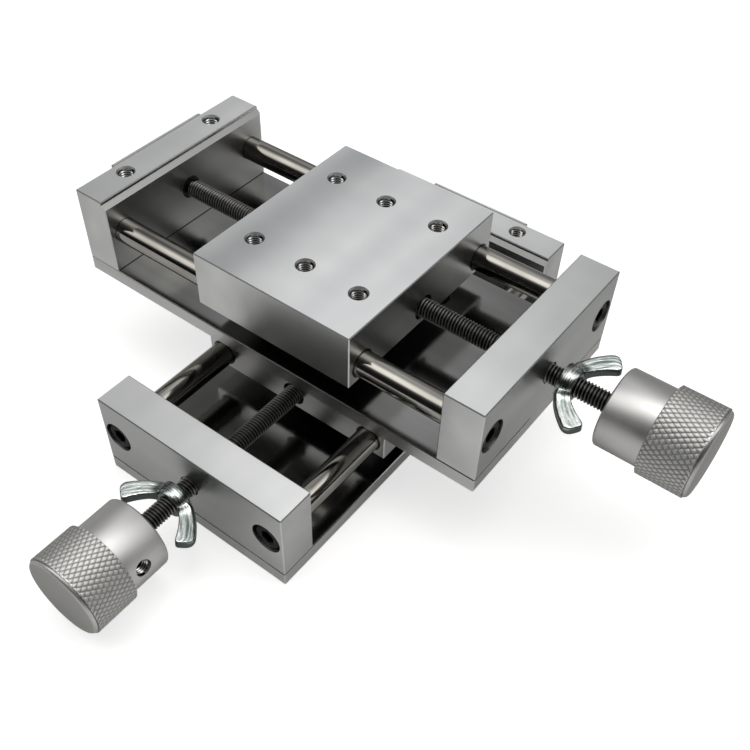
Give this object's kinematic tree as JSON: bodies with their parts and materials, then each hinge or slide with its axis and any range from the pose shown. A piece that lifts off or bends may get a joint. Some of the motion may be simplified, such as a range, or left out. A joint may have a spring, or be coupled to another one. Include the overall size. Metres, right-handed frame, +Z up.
{
  "type": "manual cross slide stage",
  "caption": "Manual cross slide with stacked screw-driven stages at a right angle, round guide rods, knurled knobs, locking wing nuts and a tapped top carriage.",
  "frame": {"origin": "centre of the lower base plate's underside, which rests on the bench", "axes": "+Z up, +X towards the upper stage's knob, -Y towards the lower stage's knob"},
  "size_m": [0.1963, 0.1963, 0.062],
  "materials": {
    "plates": "bright rolled, nearly mirror-like",
    "blocks": "milled, with fine straight grain",
    "rods": "ground and hard-chromed steel",
    "lead_screws": "black oxide",
    "black_screws": "black oxide",
    "knobs": "satin, turned and knurled",
    "wing_nuts": "bright zinc plating on a casting",
    "bearings": "black bearing plastic",
    "feed_nuts": "turned"
  },
  "bodies": {
    "lower_frame": {"lower_base_plate": "plates", "lower_front_block": "blocks", "lower_rear_block": "blocks", "lower_left_rod": "rods", "lower_right_rod": "rods", "lower_rod_screws": "black_screws", "lower_block_screws": "black_screws", "lower_front_bush": "bearings", "lower_rear_bush": "bearings", "lower_rear_cover": "blocks", "lower_cover_screws": "black_screws"},
    "lower_screw": {"lower_lead_screw": "lead_screws", "lower_screw_collar": "black_screws", "lower_knob": "knobs", "lower_knob_set_screw": "black_screws"},
    "lower_wing_nut": {"lower_wing_nut": "wing_nuts"},
    "middle_slide": {"lower_carriage": "blocks", "lower_rod_bushes": "bearings", "lower_feed_nut": "feed_nuts", "joining_screws": "black_screws", "upper_base_plate": "plates", "upper_front_block": "blocks", "upper_rear_block": "blocks", "upper_left_rod": "rods", "upper_right_rod": "rods", "upper_rod_screws": "black_screws", "upper_block_screws": "black_screws", "upper_front_bush": "bearings", "upper_rear_bush": "bearings", "upper_rear_cover": "blocks", "upper_cover_screws": "black_screws"},
    "upper_screw": {"upper_lead_screw": "lead_screws", "upper_screw_collar": "black_screws", "upper_knob": "knobs", "upper_knob_set_screw": "black_screws"},
    "upper_wing_nut": {"upper_wing_nut": "wing_nuts"},
    "top_carriage": {"upper_carriage": "blocks", "upper_rod_bushes": "bearings", "upper_feed_nut": "feed_nuts"}
  },
  "joints": [
    {"name": "lower_screw_spin", "type": "hinge", "parent": "lower_frame", "child": "lower_screw", "pos_m": [0, 0, 0.01775], "axis": [0, -1, 0], "range_deg": [-11880, 11880]},
    {"name": "lower_slide", "type": "slide", "parent": "lower_frame", "child": "middle_slide", "axis": [0, -1, 0], "range_m": [-0.033, 0.033]},
    {"name": "lower_wing_nut_turn", "type": "hinge", "parent": "lower_screw", "child": "lower_wing_nut", "pos_m": [0, -0.08, 0.01775], "axis": [0, -1, 0], "range_deg": [-1080, 1080]},
    {"name": "upper_screw_spin", "type": "hinge", "parent": "middle_slide", "child": "upper_screw", "pos_m": [0, 0, 0.04875], "axis": [1, 0, 0], "range_deg": [-10620, 13140]},
    {"name": "upper_slide", "type": "slide", "parent": "middle_slide", "child": "top_carriage", "axis": [1, 0, 0], "range_m": [-0.0365, 0.0295]},
    {"name": "upper_wing_nut_turn", "type": "hinge", "parent": "upper_screw", "child": "upper_wing_nut", "pos_m": [0.075, 0, 0.04875], "axis": [1, 0, 0], "range_deg": [-1080, 1080]}
  ],
  "couplings": [
    {"joint": "lower_screw_spin", "follows": "lower_slide", "rad_per_m": -6283.2},
    {"joint": "upper_screw_spin", "follows": "upper_slide", "rad_per_m": -6283.2}
  ]
}
